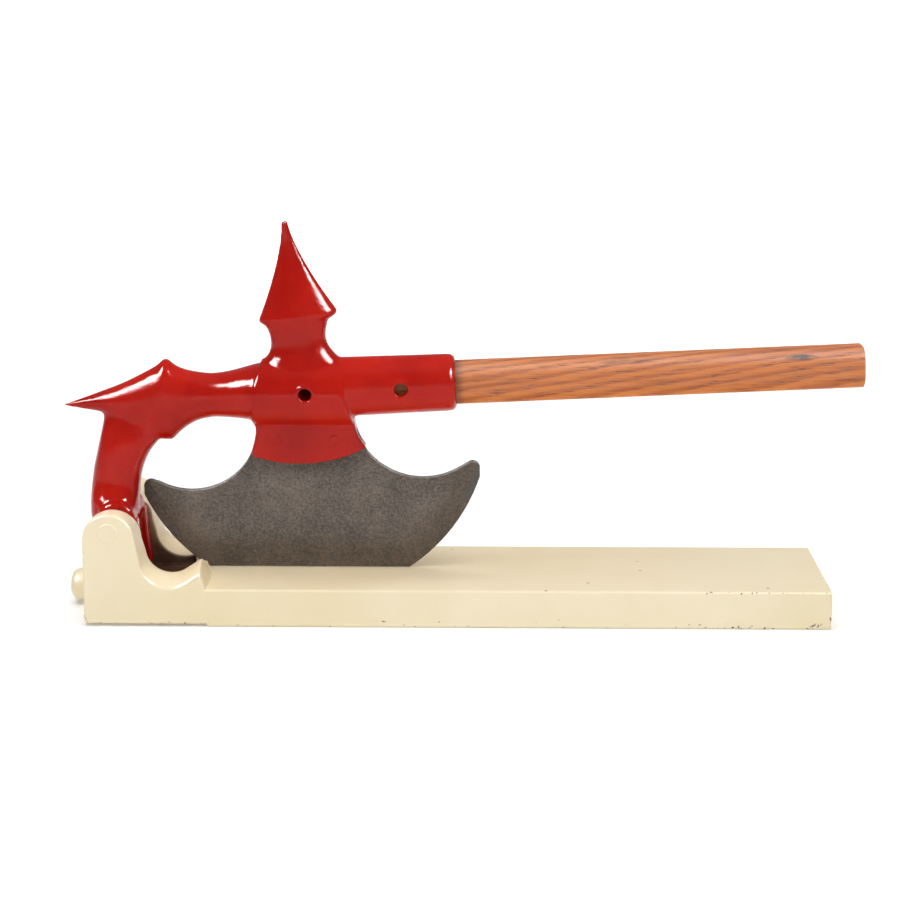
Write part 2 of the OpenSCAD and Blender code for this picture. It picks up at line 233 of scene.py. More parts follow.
sweep = finish("sweep", {"Base Color": (0.8, 0.8, 0.8, 1), "Roughness": 0.9, "Specular IOR Level": 0.0,
                         "Emission Strength": 1.0}, sweep_skin)


ROUND = 96


def circles(radius, heights):
    """Points at (r cos a, r sin a, z), one circle for each height z."""
    a = np.linspace(0, 2 * np.pi, ROUND, endpoint=False)
    z = np.array(heights, float)[:, None]
    return np.stack(np.broadcast_arrays(radius * np.cos(a), radius * np.sin(a), z), -1).reshape(-1, 3)


def staged(name, points, faces):
    """A piece of the stage, which wears the sweep's finish and isn't part of the cutter."""
    mesh = bpy.data.meshes.new(name)
    mesh.from_pydata(points.tolist(), [], faces.tolist())
    mesh.materials.append(sweep)
    piece = bpy.data.objects.new(name, mesh)
    scene.collection.objects.link(piece)
    return piece


i = np.arange(ROUND)
after = (i + 1) % ROUND
staged("floor", circles(30, [0]), i[None, :])
wall = staged("wall", circles(12, [0, 25]), np.stack([i, after, after + ROUND, i + ROUND], -1))
wall.visible_diffuse = wall.visible_glossy = wall.visible_shadow = False
print("the wall is", round(wall.dimensions.x), "m across")

# %% [markdown]
# ## Surfaces from rings
# Nearly every piece here is a bar that changes its section as it goes: a horn, an arm, a handle, a
# plank. Such a shape is a function of two parameters, one around the section and one along the
# bar, so it is worked out as one array of rings and skinned, and its ends are closed by strips.

# %% Rings to a mesh
def ring_mesh(name, rings):
    """Skins m rings of n points with four-sided faces, and closes each end with strips that join
    the ring's two halves. The sum of p . (q x r) over the side's triangles, taken from the middle of
    the form, tells whether the faces point outwards, and they are turned if it is negative."""
    m, n, _ = rings.shape
    points = rings.reshape(-1, 3)
    i, j = np.arange(n), np.arange(m - 1)[:, None]
    a, b = j * n + i, j * n + (i + 1) % n
    k = np.arange((n - 1) // 2)
    end = np.stack([k, k + 1, n - 2 - k, n - 1 - k], -1)
    side = np.stack([a, b, b + n, a + n], -1).reshape(-1, 4)
    faces = np.vstack([side, end[:, ::-1], end + (m - 1) * n])
    p, q, r, s = (points[faces[:, c]] - points.mean(0) for c in range(4))
    if np.sum(p * np.cross(q, r)) + np.sum(p * np.cross(r, s)) < 0:
        faces = faces[:, ::-1]
    mesh = bpy.data.meshes.new(name)
    mesh.from_pydata(points.tolist(), [], [list(dict.fromkeys(face)) for face in faces.tolist()])
    mesh.shade_smooth()
    return mesh


def flowing(rows, count):
    """Draws smooth curves through the rows of a table, whose first column is the place along the
    piece: cubic Hermite curves with each row's slope taken from its two neighbours."""
    rows = np.asarray(rows, float)
    t = rows[:, 0]
    slope = np.gradient(rows, t, axis=0)
    x = np.linspace(t[0], t[-1], count)
    k = np.clip(np.searchsorted(t, x) - 1, 0, len(t) - 2)
    span = (t[k + 1] - t[k])[:, None]
    s = (x[:, None] - t[k][:, None]) / span
    before = (2 * s**3 - 3 * s**2 + 1) * rows[k] + (s**3 - 2 * s**2 + s) * span * slope[k]
    after = (3 * s**2 - 2 * s**3) * rows[k + 1] + (s**3 - s**2) * span * slope[k + 1]
    return before + after


def oval(fullness, around=96):
    """The curve |x|^p + |y|^p = 1, where p is the fullness: 2 is a circle, and more is squarer."""
    a = np.linspace(0, 2 * np.pi, around, endpoint=False)
    c, s = np.cos(a), np.sin(a)
    return np.sign(c) * np.abs(c) ** (2 / fullness), np.sign(s) * np.abs(s) ** (2 / fullness)


print("an oval of fullness 3 reaches", np.round(max(oval(3)[0]), 2))


# %% Level and upright bars, plates and turned forms
def level_bar(rows, fullness, count=90):
    """A standing bar. Each row is [height, left, right, half depth], and its ring is an oval."""
    z, left, right, deep = (column[:, None] for column in flowing(rows, count).T)
    c, s = oval(fullness)
    x = (left + right) / 2 + (right - left) / 2 * c
    return np.stack(np.broadcast_arrays(x, deep * s, z), -1)


def upright_bar(rows, fullness, count=160):
    """A lying bar. Each row is [x, underside, top, half depth], and its ring is an oval."""
    x, under, top, deep = (column[:, None] for column in flowing(rows, count).T)
    c, s = oval(fullness)
    z = (under + top) / 2 + (top - under) / 2 * c
    return np.stack(np.broadcast_arrays(x, deep * s, z), -1)


def arc(centre, radius, start, end, count=24):
    """Points at centre + radius (cos a, sin a), with a running from start to end in degrees."""
    a = np.radians(np.linspace(start, end, count))
    return np.array(centre) + radius * np.stack([np.cos(a), np.sin(a)], -1)


def plate(outline, half, layers=9):
    """A flat plate: one outline in x and z, repeated at layers from -half to half across y."""
    y = np.linspace(-half, half, layers)[:, None]
    x, z = np.asarray(outline, float).T
    return np.stack(np.broadcast_arrays(x, y, z), -1)


def turned(profile, around=96):
    """A turned form along x: ring j has the radius r_j at the distance x_j of its profile."""
    x, r = (column[:, None] for column in np.asarray(profile, float).T)
    a = np.linspace(0, 2 * np.pi, around, endpoint=False)
    return np.stack(np.broadcast_arrays(x, r * np.cos(a), r * np.sin(a)), -1)


def tilted(rings, degrees, start):
    """Rings turned in the plane of x and z, and moved to start: (x cos a - z sin a, x sin a + z cos a).
    A bar drawn along x rises by the angle, and a form drawn upright leans to the left by it."""
    c, s = np.cos(np.radians(degrees)), np.sin(np.radians(degrees))
    turn = np.array([[c, 0, s], [0, 1, 0], [-s, 0, c]])
    return rings @ turn + np.array([start[0], 0, start[1]])


def crossing(rings, point):
    """Rings drawn along x, turned to run across y at a point of the x and z plane."""
    return np.stack([rings[..., 1] + point[0], rings[..., 0], rings[..., 2] + point[1]], -1)


print("a turned cone has", turned([[0, 1], [5, 0.1]]).shape, "rings, points and coordinates")


# %% [markdown]
# ## One casting from many forms
# A casting is one skin that flows from form to form with a soft fillet at every inside corner. The
# forms here overlap, so a voxel remesh keeps only their common outer skin, holes are cut with a
# boolean, a second remesh evens the mesh out, and a few rounds of smoothing leave the fillets.

# %% Casting
GRAIN = 0.9 * MM


def show(name, mesh, finish_of, body, slot_name, *nodes):
    """Makes a finished piece that rides on a body and stands for its CAD nodes."""
    piece = bpy.data.objects.new(name, mesh)
    scene.collection.objects.link(piece)
    mesh.materials.clear()
    mesh.materials.append(finish_of)
    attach(piece, body)
    if nodes:
        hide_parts(*nodes)
    print(name, len(mesh.polygons), "faces")


def joined(name, forms, place=(0, 0, 0)):
    """One mesh from several sets of rings in millimetres, moved by place, which is in metres."""
    meshes = [ring_mesh(name, rings * MM + np.array(place)) for rings in forms]
    if len(meshes) > 1:
        form = bmesh.new()
        for mesh in meshes:
            form.from_mesh(mesh)
        form.to_mesh(meshes[0])
        form.free()
    return meshes[0]


def cast(name, forms, cuts, rounds, crossed=False):
    """Fuses the forms, cuts the cuts out, and smooths the skin by a number of rounds. Both are in
    millimetres from the hinge; crossed tells the boolean that the cuts run through each other."""
    whole, cutter = (bpy.data.objects.new(name, joined(name, shapes, HINGE)) for shapes in (forms, cuts))
    scene.collection.objects.link(whole)
    scene.collection.objects.link(cutter)
    fuse = ("REMESH", {"mode": "VOXEL", "voxel_size": GRAIN, "use_smooth_shade": True})
    cut = ("BOOLEAN", {"operation": "DIFFERENCE", "object": cutter, "solver": "EXACT", "use_self": crossed})
    smooth = ("SMOOTH", {"factor": 0.5, "iterations": rounds})
    for kind, settings in (fuse, cut, fuse, smooth):
        modifier = whole.modifiers.new(kind.lower(), kind)
        for key, value in settings.items():
            setattr(modifier, key, value)
    view = bpy.context.evaluated_depsgraph_get()
    mesh = bpy.data.meshes.new_from_object(whole.evaluated_get(view))
    for spare in (whole, cutter):
        bpy.data.objects.remove(spare)
    mesh.name = name
    mesh.shade_smooth()
    return mesh


print("castings are fused at a grain of", round(GRAIN / MM, 2), "mm")


# %% [markdown]
# ## Red enamel
# The casting is dipped or brushed in thick gloss enamel. Where it lies over rough iron its skin
# has a fine orange peel that breaks each highlight into sparks; where it pooled, the peel fades.
# A few pinholes show the dark primer. The peel is noise at two sizes that feeds the bump.

# %% Red enamel
def red_skin(place):
    pool = place.noise(38, 3).step(0.40, 0.62)
    peel = place.noise(520, 3, 0.6) * 0.11 + place.noise(1250, 2) * 0.09
    swell = place.noise(70, 2) * 0.35
    cloud = place.noise(26, 4)
    pinhole = place.cells(95).step(0.075, 0.045) * place.noise(21).step(0.56, 0.66)
    colour = cloud.step(0.35, 0.65).tint(paint(161, 16, 6), paint(179, 24, 10))
    colour = pinhole.tint(colour, paint(62, 16, 12))
    return {
        "Base Color": colour,
        "Roughness": place.noise(120, 3) * 0.08 + 0.07 + pool * 0.05,
        "Height": peel * (pool * 0.65 + 0.35) + swell - pinhole * 0.15,
    }


red_enamel = finish("red_enamel", {"IOR": 1.5, "Specular IOR Level": 0.21}, red_skin)

# %% [markdown]
# ## Cream enamel
# The bracket and the board share one cream paint. It has softened over the years: faint yellow
# clouds, brush drag along the board, and chips along the edges that stand on the table, where a
# dark red-brown undercoat shows. A chip is where a knobbly noise passes a limit that falls towards
# the worn edges, so chips gather there and are rare elsewhere. The shade in the slot that the hub
# swings in is painted into the colour: a brown that darkens towards the slot's floor.

# %% Cream enamel
def cream_skin(worn, shade_mask=None):
    """worn(x, y, z) gives 1 where the paint wears; the second mask gives 1 where shade is painted in."""
    def build(place):
        x, y, z = place.parts()
        edge = worn(x, y, z)
        flake = place.noise(310, 5, 0.62)
        chip = (flake + edge * 0.16).step(0.775, 0.79)
        rim = (flake + edge * 0.16).step(0.745, 0.775) - chip
        speck = place.cells(36).step(0.05, 0.03) * place.noise(17).step(0.50, 0.60)
        cloud = place.noise(9, 4).step(0.3, 0.7) * 0.6 + place.noise(60, 3) * 0.4
        colour = cloud.tint(paint(234, 218, 178), paint(243, 231, 201))
        dirt = (rim * 0.5 + speck * 0.8).lower(1.0)
        colour = dirt.tint(colour, paint(176, 143, 96))
        colour = chip.tint(colour, paint(108, 46, 36))
        # Painted shade: the slot between the cheeks gets a brown that darkens towards its floor, in place
        # of the shade that falls there.
        if shade_mask:
            slot_shade = shade_mask(x, y, z) * (place.noise(45, 4) * 0.5 + 0.72).lower(1.0)
            soil = (z * 1000).step(24, 44).tint(paint(72, 42, 24), paint(128, 94, 64))
            colour = slot_shade.tint(colour, soil)
        drag = place.stretched(6, 90, 90).noise(5, 3) * 0.03
        return {
            "Base Color": colour,
            "Roughness": place.noise(150, 3) * 0.12 + 0.27 + chip * 0.35,
            "Height": place.noise(190, 3) * 0.05 + drag + place.noise(32, 2) * 0.3 - chip * 0.25,
        }
    return build


joint_face, right_end = float(board_low[0]) * MM, float(board_high[0]) * MM
foot_x = float(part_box("hinge_bracket")[0][0])


def bracket_wear(x, y, z):
    """The foot's edge, and most of all the foot's left corner."""
    return z.step(0.007, 0.0015).higher((x - foot_x).size().step(0.006, 0.0) * z.step(0.022, 0.003) * 1.25)


def slot_painted_shade(x, y, z):
    """Where the slot's shade is painted: between the cheeks, less than 22 mm from the middle, up to the
    ridge along x.
    """
    lengthwise = x.step(joint_face - 0.0125, joint_face - 0.0145) * x.step(foot_x, foot_x + 0.003)
    return y.size().step(0.0228, 0.0219) * lengthwise


def board_wear(x, y, z):
    """The foot's edge, more to the right; the right end; and the right part of the front top edge."""
    under = z.step(0.010, 0.0) * (x.step(0.10, 0.17) * 0.35 + 0.8)
    end = (x - right_end).size().step(0.006, 0.0)
    off_edge = ((z - 0.0225) ** 2 + (y + 0.0495) ** 2) ** 0.5
    return under.higher(end).higher(off_edge.step(0.003, 0.0) * x.step(0.10, 0.16) * 0.95)


enamel = {"IOR": 1.5, "Specular IOR Level": 0.4}
# The bracket's cream has painted shade in the slot between its cheeks.
bracket_cream = finish("bracket_cream", enamel, cream_skin(bracket_wear, slot_painted_shade))
board_cream = finish("board_cream", enamel, cream_skin(board_wear))

# %% [markdown]
# ## The red head
# The head is one iron casting: a hub on the pin, an upright arm, a beak that is the axe's pick, a
# waist, a collar with a finial above and a skirt below, and the socket of the handle. It is built
# from nine overlapping forms in millimetres from the hinge axis, which the cast fuses together with
# two thin rings of paint that has run up round the screw holes.

# %% The arm, the hub and its tail
arm = level_bar([
    [-8, -15.5, 10, 12.5], [0, -17.8, 11.2, 16.5], [6, -17.8, 11.2, 18], [10, -17.7, 11.4, 17.5],
    [14, -17.4, 11.8, 15.5], [19, -16.9, 12.3, 13.5], [25, -16, 13.4, 12.8], [32, -14.8, 15.6, 12.5],
    [39, -13.1, 19, 12.5], [46, -11.5, 24.5, 12], [52, -10.1, 30, 10.8], [59, -8.6, 36, 9.5],
    [66, -8.4, 40, 8]], 2.5)
hub = crossing(turned([[-21.5, 10], [-20, 11.4], [20, 11.4], [21.5, 10]]), (0, 0))
tail_foot = board_half[2] + 7.1 - hinge_mm[2]
tail = plate([[0, 0], [12.7, 0], [14, -17], [15.5, -28], [16, tail_foot + 3], [14, tail_foot],
              [-4, tail_foot], [-8, tail_foot + 4], [-8, -9]], 21.5)
print("arm, hub and tail:", arm.shape, hub.shape, tail.shape)

# %% The beak and the waist
beak = upright_bar([
    [-33.2, 66.7, 67.9, 0.8], [-27, 66, 69.6, 1.9], [-20.6, 65, 71.8, 3.8], [-10.5, 63.4, 75.5, 7],
    [1.7, 58, 80.2, 10], [14, 51, 86.1, 11.8], [24, 47.2, 91.6, 12.6], [30.6, 46.4, 95.8, 12.8],
    [33.4, 46.6, 93.5, 12.8], [36, 49.4, 91.6, 12.7], [40, 53, 89.8, 12.6], [47, 57.5, 88.1, 12.6],
    [57.5, 60.4, 87, 13.2], [67, 60.4, 88.2, 14.9], [74, 59.9, 89.9, 16.4], [80, 59.2, 91.6, 17.9],
    [85, 58.4, 93, 18.9], [92, 57.4, 95, 19.2]], 2.2)
print("beak from", beak[..., 0].min().round(1), "to", beak[..., 0].max().round(1), "mm")

# %% The collar, the socket and the skirt
tilt, socket_length = 2.6, 92
collar_middle = np.array([113.0, 78.0])
along = np.array([np.cos(np.radians(tilt)), np.sin(np.radians(tilt))])
mouth = collar_middle + socket_length * along


def barrel(left_line, right_line, radius, middle, around=160, count=48):
    """A barrel along x whose two ends are not flat: at each height z they follow two lines drawn
    in the x and z plane, so a ring is stretched from its left line to its right line."""
    a = np.linspace(0, 2 * np.pi, around, endpoint=False)
    z = middle + radius * np.sin(a)
    y = radius * np.cos(a)
    left = np.interp(z, *np.array(left_line, float).T[::-1])
    right = np.interp(z, *np.array(right_line, float).T[::-1])
    share = np.linspace(0, 1, count)[:, None]
    return np.stack(np.broadcast_arrays(left + share * (right - left), y, z), -1)


collar = barrel([[81.5, 50], [83, 66], [84.5, 80], [87.3, 94.5], [90, 101]],
                [[145.5, 52], [141, 67], [137, 78], [134, 90], [133, 101]], 20, 76)
socket = tilted(turned(
    [[-socket_length + 10, 18.2], [-60, 17.9], [-30, 17.5], [-4, 17.25]]
    + [[-4 + 4 * np.sin(a), 13.2 + 4 * np.cos(a)] for a in np.linspace(0.15, np.pi / 2, 10)]), tilt, mouth)
skirt_line = np.vstack([[[84, 62], [83.9, 51], [82.7, 45], [81.1, 39.6]],
                        arc((109.8, 119.6), 87.3, 251, 297.9, 40), [[147, 47.5], [144.8, 53], [143, 62]]])
skirt = plate(skirt_line, 6.5)
print("the socket's mouth is at", mouth.round(1))

# %% The neck and the finial
neck = level_bar([
    [84, 86, 140, 14], [92, 87, 137, 13], [95.5, 89, 136, 12], [99, 92, 132.5, 11],
    [103, 93.4, 129.2, 10], [107.5, 93.6, 127.2, 9.6], [113, 92.3, 126.8, 9.6],
    [119, 89, 128, 10]], 2.4, 50)


def flame(half_width, half_depth, height, fullness=2.2, count=80):
    """A pointed cap on its rim: the half width falls as (1 - s)^1.45 from the rim to a small ball
    at the tip, and the depth falls with it; three short rings under the rim close it inwards."""
    s = np.linspace(0, 1, count)[:, None]
    wide = 2 + (half_width - 2) * (1 - s) ** 1.45
    deep = np.maximum(2, wide * half_depth / half_width)
    z = s * height
    under = np.array([[0.70, -4.8], [0.90, -2.6], [0.985, -0.8]])
    wide = np.vstack([under[:, :1] * half_width, wide])
    deep = np.vstack([under[:, :1] * half_depth, deep])
    z = np.vstack([under[:, 1:], z])
    c, d = oval(fullness)
    return np.stack(np.broadcast_arrays(wide * c, deep * d, z), -1)


finial = tilted(flame(24, 11, 57), 7.5, (110.2, 122.4))
print("the finial's tip is at", finial[-1].mean(0).round(1))

# %% Holes and rings, and the casting
def hoop(point, y, radius, thick, around=64):
    """A thin ring of paint round a hole: a circle of radius thick carried round a larger circle, at
    (r + t cos u) (cos v, sin v) and at the depth y + t sin u."""
    u = np.linspace(0, 2 * np.pi, around, endpoint=False)
    v = np.linspace(0, 2 * np.pi, around, endpoint=True)[:, None]
    reach = radius + thick * np.cos(u)
    return np.stack(np.broadcast_arrays(
        point[0] + reach * np.cos(v), y + thick * np.sin(u), point[1] + reach * np.sin(v)), -1)


axis, collar_hole, socket_hole = (0, 0), (115.1, 77.6), (172.2, 80.5)
bore, screw, rim = 6.05, 3.9, 4.7
cuts = [
    crossing(turned([[-23, bore], [23, bore]]), axis),
    crossing(turned([[-30, screw], [5, 3.75]]), collar_hole),
    crossing(turned([[-30, screw], [-9, screw]]), socket_hole),
    plate([[20, 6], [12, 3], [8.5, -8], [9.5, tail_foot + 12], [9.5, tail_foot - 2],
           [20, tail_foot - 2]], 10.75),
]
rims = [hoop(collar_hole, -19.5, rim, 1.0), hoop(socket_hole, -17.2, rim, 1.0)]
head = cast("head", [arm, hub, tail, beak, collar, socket, skirt, neck, finial, *rims], cuts, 5)
show("head_casting", head, red_enamel, "lever", "red_enamel", "lever_head")

# %% [markdown]
# ## The cream bracket
# The bracket is a second casting: two cheeks, each with a round ear for the pin, a hollow and a
# ridge that meets the board. Across its thickness each cheek's top is arched like a roof tile, and
# the ears sink towards the slot. So the cheek is its side line, carried across y while the line's
# arcs rise and sink. The room between the cheeks and the notch of the blade are cut afterwards.

# %% Bracket
bracket_low, bracket_high = (np.array(corner) * 1000 - hinge_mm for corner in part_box("hinge_bracket"))
left, right, foot = bracket_low[0], bracket_high[0], bracket_low[2]
deck = board_high[2] - hinge_mm[2]


def cheeks(arch=6, sink=5, inner=21.6, outer=50, layers=30):
    """The side line of a cheek at each layer y: an ear arc of radius 15.5 whose centre is lowered by
    sink (1 - t)^3, a hollow arc of radius 17 and a ridge edge, both raised by arch (1 - (2t - 1)^2),
    where t runs from 0 at the slot to 1 at the outer face; then straight back along the foot."""
    t = np.linspace(0, 1, layers)
    t = np.concatenate([t[::-1], t])[:, None]
    y = np.where(np.arange(2 * layers) < layers, -1, 1)[:, None] * (inner + (outer - inner) * t)
    lift, drop = arch * (1 - (2 * t - 1) ** 2), sink * (1 - t) ** 3
    a, b = np.radians(np.linspace(180, 0, 60)), np.radians(np.linspace(185, 295, 50))
    ear, hollow = 15.5, 17
    ear_x, ear_z = ear * np.cos(a) + 0 * t, -4.1 - drop + ear * np.sin(a)
    hollow_x, hollow_z = right - 22 + hollow * np.cos(b) + 0 * t, deck + hollow + lift + hollow * np.sin(b)
    edge_x, edge_z = np.array([right - 3.5, right]) + 0 * t, np.hstack([deck + 9 + lift, deck + 0 * t])
    top_x = np.hstack([ear_x, hollow_x, edge_x])
    under_x = np.hstack([top_x[:, :0:-1], left + 0 * t])
    z = np.hstack([ear_z, hollow_z, edge_z, foot + 0 * under_x])
    return np.stack(np.broadcast_arrays(np.hstack([top_x, under_x]), y, z), -1)


def room_of(x0, x1, floor_z, top_z, half):
    """A square room from x0 to x1, from its floor to its top, and half its width to each side."""
    return plate([[x0, floor_z], [x1, floor_z], [x1, top_z], [x0, top_z]], half, 5)


slot_floor, web_top, slot_half, notch_half = board_half[2] + 6.1 - hinge_mm[2], -18.3, 22, 13
over_ridge = [[right - 15, deck + 1.5], [right - 3.5, deck + 8.6], [right, deck - 0.4],
              [right + 1, deck - 0.4], [right + 1, 32], [right - 15, 32]]
rooms = [
    room_of(left + 4.5, right - 14, slot_floor, 34, slot_half),
    room_of(left - 1, left + 6, web_top, 33, slot_half),
    plate(over_ridge, slot_half, 5),
    room_of(right - 30, right + 2, deck - 0.8, 31, notch_half),
]
bracket = cast("bracket", [cheeks()], rooms, 6, crossed=True)
show("bracket_casting", bracket, bracket_cream, "base", "cream_enamel_iron", "hinge_bracket")

# %% [markdown]
# ## The board
# The board is a plank with a square section and eased edges. It is a rounded rectangle carried
# along x, and at each end the section shrinks along a quarter circle, so the ends are eased too.

# %% Board
def plank(x0, x1, half_width, half_height, corner, ease, steps=12):
    """A rounded rectangle carried along x. Its corners are quarter circles of radius corner, and at
    each end it shrinks by ease (1 - sin a) while x falls short of the end by ease (1 - cos a)."""
    a = np.radians(np.linspace(0, 90, steps))
    x = np.concatenate([x0 + ease * (1 - np.cos(a)), x1 - ease * (1 - np.cos(a[::-1]))])[:, None]
    shrink = np.concatenate([ease * (1 - np.sin(a)), ease * (1 - np.sin(a[::-1]))])[:, None]
    turn = np.radians(np.linspace(0, 90, steps)[None, :] + np.array([0, 90, 180, 270])[:, None]).ravel()
    side = np.repeat(np.array([[1, 1], [-1, 1], [-1, -1], [1, -1]]), steps, axis=0)
    y = side[:, 0] * (half_width - corner) + corner * np.cos(turn) - side[:, 0] * shrink
    z = side[:, 1] * (half_height - corner) + corner * np.sin(turn) - side[:, 1] * shrink
    return np.stack(np.broadcast_arrays(x, y, z), -1)


_, half_width, half_height = board_half
board_rings = plank(board_low[0], board_high[0], half_width, half_height, 1.6, 1.0)
board = ring_mesh("board", (board_rings + [0, 0, half_height]) * MM)
show("board_plank", board, board_cream, "base", "cream_enamel_wood", "base_board")

# %% [markdown]
# ## Paint in the seam
# The bracket and the board were painted together, and the paint filled the seam between them. A
# short plank that reaches into both, a hair under their faces, is that paint.

# %% Paint in the seam between the bracket and the board
sunk = 0.12
seam_rings = plank(board_low[0] - 1.6, board_low[0] + 1.4, half_width - sunk, half_height - 0.9, 1.4, 0.3)
seam = ring_mesh("seam", (seam_rings + [0, 0, half_height + 0.9 - sunk]) * MM)
show("seam_paint", seam, board_cream, "base", "cream_enamel_iron")

# %% [markdown]
# ## Pin, bolt and rivets
# Small turned parts are a profile of distances and radii, spun round their own axis. The pin's
# ends and the bolt's head were painted with the bracket, so their edges are soft.

# %% Pin, bolt and washer
def domed_bar(half, radius, ease, count=12):
    """A bar whose ends are eased by quarter circles of radius ease, closed flat."""
    a = np.radians(np.linspace(0, 90, count))
    end = np.stack([half - ease * (1 - np.cos(a)), radius - ease * (1 - np.sin(a))], -1)
    return turned(np.vstack([end * [-1, 1], end[::-1]]))


pin = ring_mesh("pin", crossing(domed_bar(50.45, 6, 0.6), axis) * MM + HINGE)
show("hinge_pin_painted", pin, bracket_cream, "base", "cream_enamel_iron", "hinge_pin")

bolt_foot = [left + hinge_mm[0] - 2, 0, half_height]
dome = [[0, -14, 0.4], [1, -13.9, 4.2], [2, -13.2, 6.8], [3, -11.8, 8.7], [4, -9.8, 9.7],
        [5, -7, 10], [6, -2, 10], [7, -0.6, 9.9], [8, 0, 9.2]]
bolt = ring_mesh("bolt", (turned(flowing(dome, 60)[:, 1:]) + bolt_foot) * MM)
show("bolt_head", bolt, bracket_cream, "base", "cream_enamel_iron", "tie_bolt")
washer_rings = turned([[0, 10.2], [0.3, 10.9], [1.7, 11], [2, 10.8]])
washer = ring_mesh("washer", (washer_rings + bolt_foot) * MM)
show("bolt_washer_painted", washer, bracket_cream, "base", "cream_enamel_iron", "bolt_washer")

# %% Rivets
rivet_places = (97, 46.5), (131.5, 47.5)
rivets = joined("rivets", [crossing(domed_bar(6.85, 3, 0.5), spot) for spot in rivet_places], HINGE)
rivets.shade_smooth()
show("skirt_rivets", rivets, red_enamel, "lever", "red_enamel", "blade_rivets")

# %% [markdown]
# ## The blade
# The blade is forged plate with a broad ground bevel. Over the length, its section is one loop:
# from the cutting edge up the front, over the back edge and down the rear. The loop's height comes
# from the blade's lower and upper outline at that x, and its half thickness grows with the
# distance from the lower outline.

# %% Blade
edge_z = 0.5 + deck
arc_x, arc_z, arc_radius = 114.7, edge_z + 91, 110


def outline_at(x):
    """The lower and the upper outline at x. Lower: the circle of radius 110 round (114.7, 91 above
    the edge), cut by the flat edge. Upper: the round tips, the two scallops, and straight runs for
    the tang and beside the tips, whichever of them holds at that x."""
    def rise(middle, radius):
        """How far a circle reaches above and below its middle at x."""
        return np.sqrt(np.maximum(radius**2 - (x - middle) ** 2, 0))

    under = np.maximum(arc_z - rise(arc_x, arc_radius), edge_z)
    left_dish, right_dish = 56.1 - rise(43.8, 41), 66.5 - rise(184.8, 43)
    left_tip, right_tip = 16.9 + rise(19, 4.5), 29.2 + rise(215, 4.5)
    run_x = [21.25, 25.2, 78.9, 82.8, 84.2, 88, 138, 143.5, 145.6, 150.9, 207.6, 213.5]
    run_z = [20.8, 19.6, 35, 43.5, 50, 58, 60, 57, 51.5, 40, 30, 33.4]
    straight = np.interp(x, run_x, run_z)
    over = np.select(
        [x < 21.25, x < 25.2, x < 78.9, x < 150.9, x < 207.6, x < 213.5],
        [left_tip, straight, left_dish, straight, right_dish, straight], right_tip)
    return under, np.maximum(over, under + 0.4)


def blade_rings(x0=14.6, x1=219.4, along=420, up=44):
    """Places along the blade bunch towards the tips as (1 - cos a) / 2. On each face the height
    runs from the lower to the upper outline, and the half thickness is 0.35 + 0.075 d, at most 1.5,
    where d is the distance above the lower outline; it eases off under the upper one."""
    x = (x0 + (x1 - x0) * (1 - np.cos(np.linspace(0, np.pi, along))) / 2)[:, None]
    under, over = outline_at(x)
    share = (1 - np.cos(np.linspace(0, np.pi, up))) / 2
    z = under + (over - under) * share
    half = np.minimum(1.5, 0.35 + 0.075 * (z - under))
    half = np.minimum(half, 0.9 + 0.8 * (over - z))
    half = np.minimum(half, 0.3 + 0.6 * np.minimum(x - x0 + 0.2, x1 - x + 0.2))
    front = np.stack(np.broadcast_arrays(x, -half, z), -1)
    rear = np.stack(np.broadcast_arrays(x, half, z), -1)[:, ::-1]
    return np.concatenate([front, rear], axis=1)


def steel_skin(place):
    """Old forged steel: grey clouds, dense dark pits at two sizes, and a browner band that follows
    the ground edge, whose height is the distance inside the circle of the cutting edge."""
    x, y, z = place.parts()
    out_x, out_z = x - float(HINGE[0] + arc_x * MM), z - float(HINGE[2] + arc_z * MM)
    reach = (out_x * out_x + out_z * out_z) ** 0.5
    band = (reach + place.noise(60, 3) * 0.012).step(0.093, 0.106).higher(
        (z + place.noise(55, 3) * 0.012).step(0.056, 0.040))
    cloud = place.noise(34, 5, 0.6)
    grain = place.noise(560, 3, 0.75)
    tone = (cloud * 0.35 + grain * 0.65).step(0.34, 0.66)
    rim = y.size().step(0.00145, 0.0011) * z.step(float(HINGE[2]) + 0.008, float(HINGE[2]) + 0.012)
    field = place.noise(48, 3, 0.6).step(0.30, 0.62)
    pits = place.noise(640, 2, 0.6).step(0.54, 0.62) * (field * 0.8 + 0.2)
    deep = place.cells(560).step(0.36, 0.20) * place.noise(300, 2).step(0.50, 0.56) * field
    dark = (pits * 0.6 + deep * 0.8 + rim * 0.7).lower(1.0)
    steel = tone.tint(paint(56, 49, 43), paint(108, 96, 86))
    brown = tone.tint(paint(50, 39, 28), paint(88, 71, 52))
    colour = (band * 0.8).tint(steel, brown)
    colour = dark.tint(colour, paint(46, 41, 36))
    return {
        "Base Color": colour,
        "Metallic": 0.5 - dark * 0.35 - band * 0.1,
        "Roughness": cloud * 0.2 + 0.40 + dark * 0.2,
        "Height": grain * 0.03 - dark * 0.09,
    }


aged_steel = finish("aged_steel", {"IOR": 1.6}, steel_skin)
blade = ring_mesh("blade", blade_rings() * MM + HINGE)
show("blade_forging", blade, aged_steel, "lever", "blade_steel", "blade")

# %% [markdown]
# ## The oak handle
# The handle is a straight-grained oak bar with its corners rounded, driven into the socket. Oak is
# ring porous: each year's early wood is a dark line of open pores, drawn out along the bar, and
# the rings run slightly across the bar, so their lines climb along it. The rings are a saw wave of
# the distance across them, warped by long soft noise.

# %% Handle
mouth_at = hinge_mm + [mouth[0], 0, mouth[1]]
mouth_along = float(mouth_at[0] * along[0] + mouth_at[2] * along[1]) * MM
mouth_up = float(mouth_at[2] * along[0] - mouth_at[0] * along[1]) * MM


def smudge(x, z, ahead, above, half_length, half_height):
    """1 in the middle of an ellipse and 0 outside it, placed in metres from the socket's mouth."""
    u = (x - (mouth_along + ahead)) / half_length
    v = (z - (mouth_up + above)) / half_height
    return (u * u + v * v).step(1.0, 0.1)


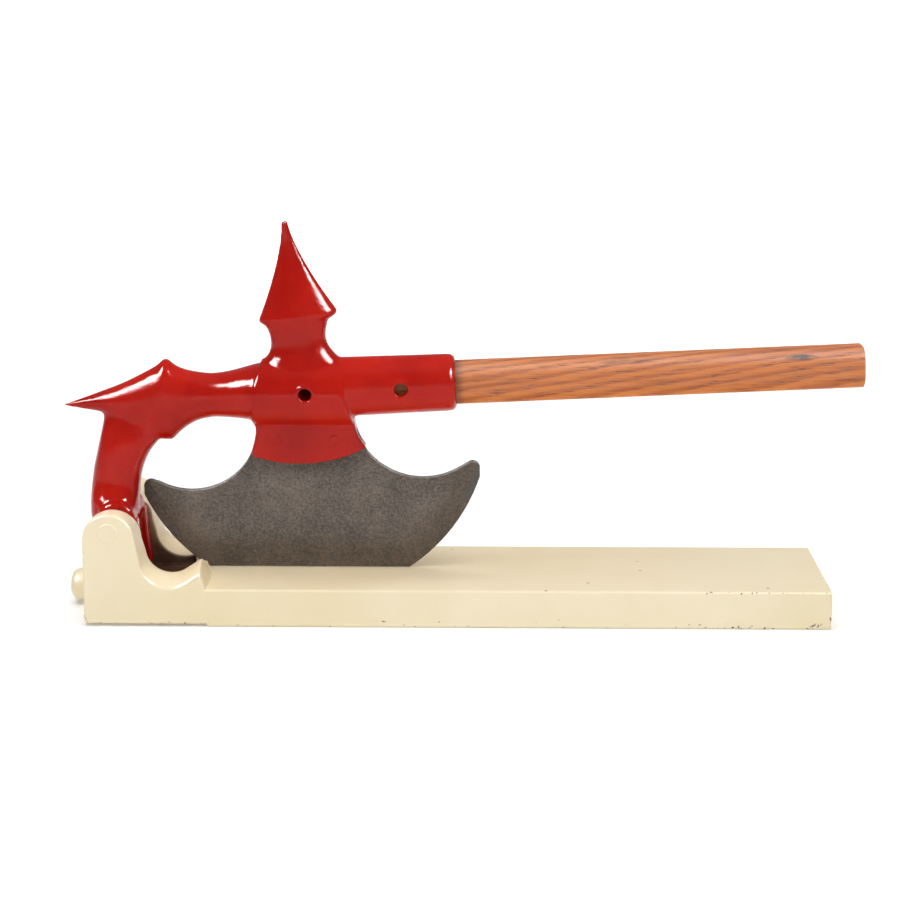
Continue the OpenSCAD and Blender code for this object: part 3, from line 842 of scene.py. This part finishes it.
def oak_skin(place):
    """The year's rings are the part after the point of 190 (z + 0.55 y - 0.12 x + a slow wander)."""
    lie = place.node("ShaderNodeMapping", None, {"Vector": place, "Rotation": (0.0, radians(tilt), 0.0)})
    x, y, z = lie.parts()
    wander = lie.stretched(6, 50, 50).noise(1, 3) * 0.009
    across = z + y * 0.55 + x * -0.12 + wander
    year = (across * 190).math("FRACT")
    early = year.step(0.0, 0.2) * year.step(0.8, 0.3)
    fibre = lie.stretched(14, 420, 420).noise(1.6, 3, 0.6)
    pore = lie.stretched(75, 1000, 1000).noise(1.3, 2, 0.6).step(0.54, 0.63)
    streak = lie.stretched(7, 130, 130).noise(1.2, 4)
    grey = lie.stretched(16, 60, 60).noise(1, 3).step(0.60, 0.75)
    fleck = lie.stretched(120, 500, 500).noise(1, 3, 0.6).step(0.36, 0.60)
    thumb, palm = smudge(x, z, 0.206, 0.0082, 0.012, 0.0024), smudge(x, z, 0.104, 0.0098, 0.022, 0.0018)
    stains = thumb.higher(palm * 0.6) * y.step(-0.006, -0.010) * fleck
    rub = (x - mouth_along).step(0.006, 0.0) * 0.75
    tone = (early * 0.20 + fibre * 0.45 + streak * 0.45).step(0.25, 0.85)
    colour = tone.tint(paint(214, 127, 60), paint(163, 81, 30))
    lines = (pore * (early * 0.7 + 0.3)).lower(1.0)
    colour = (lines * 0.75).tint(colour, paint(112, 58, 26))
    soil = (grey * lines).higher(stains).higher(rub * (fibre * 0.6 + 0.5)).lower(1.0)
    colour = soil.tint(colour, paint(58, 38, 26))
    return {
        "Base Color": colour,
        "Roughness": 0.42 + fibre * 0.2 + lines * 0.15,
        "Height": fibre * 0.06 - lines * 0.12,
    }


oak = finish("oak", {"IOR": 1.5, "Specular IOR Level": 0.4}, oak_skin)
handle_rings = tilted(plank(-55.9, 243.9, 12, 12.6, 8, 1.4), tilt, mouth)
handle = ring_mesh("handle", handle_rings * MM + HINGE)
show("oak_handle", handle, oak, "lever", "oak", "handle")

# %% The dowels are hidden in the joint, and keep their CAD shape
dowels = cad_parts["locating_dowels"]
dowels.data.materials.clear()
dowels.data.materials.append(oak)
print("dowels wear", dowels.data.materials[0].name)
